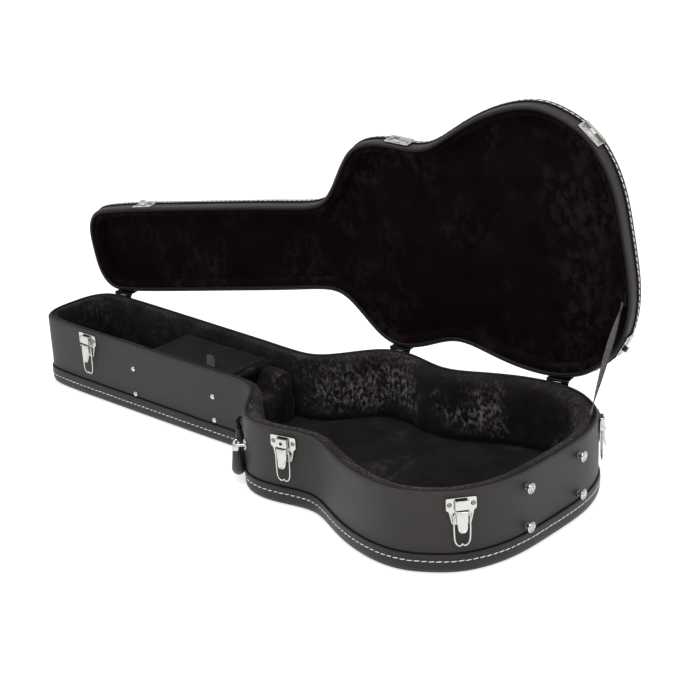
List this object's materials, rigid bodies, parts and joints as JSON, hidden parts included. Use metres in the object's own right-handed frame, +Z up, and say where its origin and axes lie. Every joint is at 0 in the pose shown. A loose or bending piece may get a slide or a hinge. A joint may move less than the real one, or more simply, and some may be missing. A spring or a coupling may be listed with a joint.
{
  "type": "guitar case",
  "caption": "Hard-shell case for a dreadnought acoustic guitar, open on its back, with hinged lid, drawbolt latches, padded handle and plush-lined interior.",
  "frame": {"origin": "underside of the base, on the centreline and midway between head end and tail end", "axes": "+Z up out of the base, +X towards the tail end, -Y towards the latch side"},
  "size_m": [1.1265, 0.4984, 0.5777],
  "materials": {
    "shell_covering": "black fine-grain leatherette over plywood",
    "edge_band": "black leatherette band with one line of white stitches",
    "rim_piping": "satin black edging",
    "plush": "black crushed plush",
    "grip": "padded black leatherette",
    "webbing": "dark grey woven webbing",
    "strap_clamp": "black bar",
    "pull_tab": "grey woven tab",
    "chrome": "bright plated steel"
  },
  "bodies": {
    "base": {"base_wall": "shell_covering", "base_bottom_panel": "shell_covering", "base_edge_band": "edge_band", "base_rim_piping": "rim_piping", "base_wall_padding": "plush", "base_floor_lining": "plush", "hinge_lower_bout_base_leaf": "chrome", "hinge_lower_bout_pin": "chrome", "hinge_upper_bout_base_leaf": "chrome", "hinge_upper_bout_pin": "chrome", "hinge_head_base_leaf": "chrome", "hinge_head_pin": "chrome", "latch_neck_plate": "chrome", "latch_upper_bout_plate": "chrome", "latch_lower_bout_plate": "chrome", "latch_tail_plate": "chrome", "handle_bracket_near": "chrome", "handle_bracket_far": "chrome", "tail_foot_left_low": "chrome", "tail_foot_left_high": "chrome", "tail_foot_right_low": "chrome", "tail_foot_right_high": "chrome", "partition_rivet_head_low": "chrome", "partition_rivet_head_high": "chrome", "partition_rivet_body_low": "chrome", "partition_rivet_body_high": "chrome", "accessory_box_head_partition": "plush", "accessory_box_body_partition": "plush", "neck_cradle": "plush", "stay_strap_base_clamp": "strap_clamp", "stay_strap": "webbing"},
    "lid": {"lid_wall": "shell_covering", "lid_top_panel": "shell_covering", "lid_edge_band": "edge_band", "lid_rim_piping": "rim_piping", "lid_wall_padding": "plush", "lid_panel_lining": "plush", "hinge_lower_bout_lid_leaf": "chrome", "hinge_upper_bout_lid_leaf": "chrome", "hinge_head_lid_leaf": "chrome", "keeper_neck": "chrome", "keeper_upper_bout": "chrome", "keeper_lower_bout": "chrome", "keeper_tail": "chrome", "stay_strap_lid_clamp": "strap_clamp"},
    "handle": {"handle_grip": "grip", "handle_end_near": "chrome", "handle_end_far": "chrome"},
    "lock": {"lock_cylinder": "chrome"},
    "accessory_flap": {"accessory_box_lid": "plush", "accessory_lid_tab": "pull_tab"},
    "neck_lever": {"latch_neck_lever": "chrome"},
    "neck_bail": {"latch_neck_bail": "chrome"},
    "upper_bout_lever": {"latch_upper_bout_lever": "chrome"},
    "upper_bout_bail": {"latch_upper_bout_bail": "chrome"},
    "lower_bout_lever": {"latch_lower_bout_lever": "chrome"},
    "lower_bout_bail": {"latch_lower_bout_bail": "chrome"},
    "tail_lever": {"latch_tail_lever": "chrome"},
    "tail_bail": {"latch_tail_bail": "chrome"}
  },
  "joints": [
    {"name": "lid_hinge", "type": "hinge", "parent": "base", "child": "lid", "pos_m": [0, 0.16268, 0.1303], "axis": [-0.9877, -0.1564, 0], "range_deg": [-87.8, 0], "deforming": ["stay_strap"]},
    {"name": "neck_lever_hinge", "type": "hinge", "parent": "base", "child": "neck_lever", "pos_m": [-0.40242, -0.08989, 0.1036], "axis": [-1, -0.008, 0], "range_deg": [0, 110]},
    {"name": "neck_bail_hinge", "type": "hinge", "parent": "neck_lever", "child": "neck_bail", "pos_m": [-0.40245, -0.08629, 0.098], "axis": [1, 0.008, 0], "range_deg": [-180, 0]},
    {"name": "upper_bout_lever_hinge", "type": "hinge", "parent": "base", "child": "upper_bout_lever", "pos_m": [0.17342, -0.18151, 0.1001], "axis": [-0.9736, -0.2281, 0], "range_deg": [0, 110]},
    {"name": "upper_bout_bail_hinge", "type": "hinge", "parent": "upper_bout_lever", "child": "upper_bout_bail", "pos_m": [0.1726, -0.178, 0.0945], "axis": [0.9736, 0.2281, 0], "range_deg": [-180, 0]},
    {"name": "lower_bout_lever_hinge", "type": "hinge", "parent": "base", "child": "lower_bout_lever", "pos_m": [0.51782, -0.17352, 0.1001], "axis": [-0.6219, -0.7831, 0], "range_deg": [0, 110]},
    {"name": "lower_bout_bail_hinge", "type": "hinge", "parent": "lower_bout_lever", "child": "lower_bout_bail", "pos_m": [0.515, -0.17128, 0.0945], "axis": [0.6219, 0.7831, 0], "range_deg": [-180, 0]},
    {"name": "tail_lever_hinge", "type": "hinge", "parent": "base", "child": "tail_lever", "pos_m": [0.51782, 0.17352, 0.1036], "axis": [0.6219, -0.7831, 0], "range_deg": [0, 110]},
    {"name": "tail_bail_hinge", "type": "hinge", "parent": "tail_lever", "child": "tail_bail", "pos_m": [0.515, 0.17128, 0.098], "axis": [-0.6219, 0.7831, 0], "range_deg": [-180, 0]},
    {"name": "handle_hinge", "type": "hinge", "parent": "base", "child": "handle", "pos_m": [0.03361, -0.13982, 0.077], "axis": [-0.688, 0.7257, 0], "range_deg": [0, 100]},
    {"name": "lock_turn", "type": "hinge", "parent": "base", "child": "lock", "pos_m": [0.17328, -0.18092, 0.1101], "axis": [0.2281, -0.9736, 0], "range_deg": [0, 90]},
    {"name": "accessory_flap_hinge", "type": "hinge", "parent": "base", "child": "accessory_flap", "pos_m": [-0.1875, 0.05705, 0.1046], "axis": [-1, 0, 0], "range_deg": [0, 90]}
  ]
}
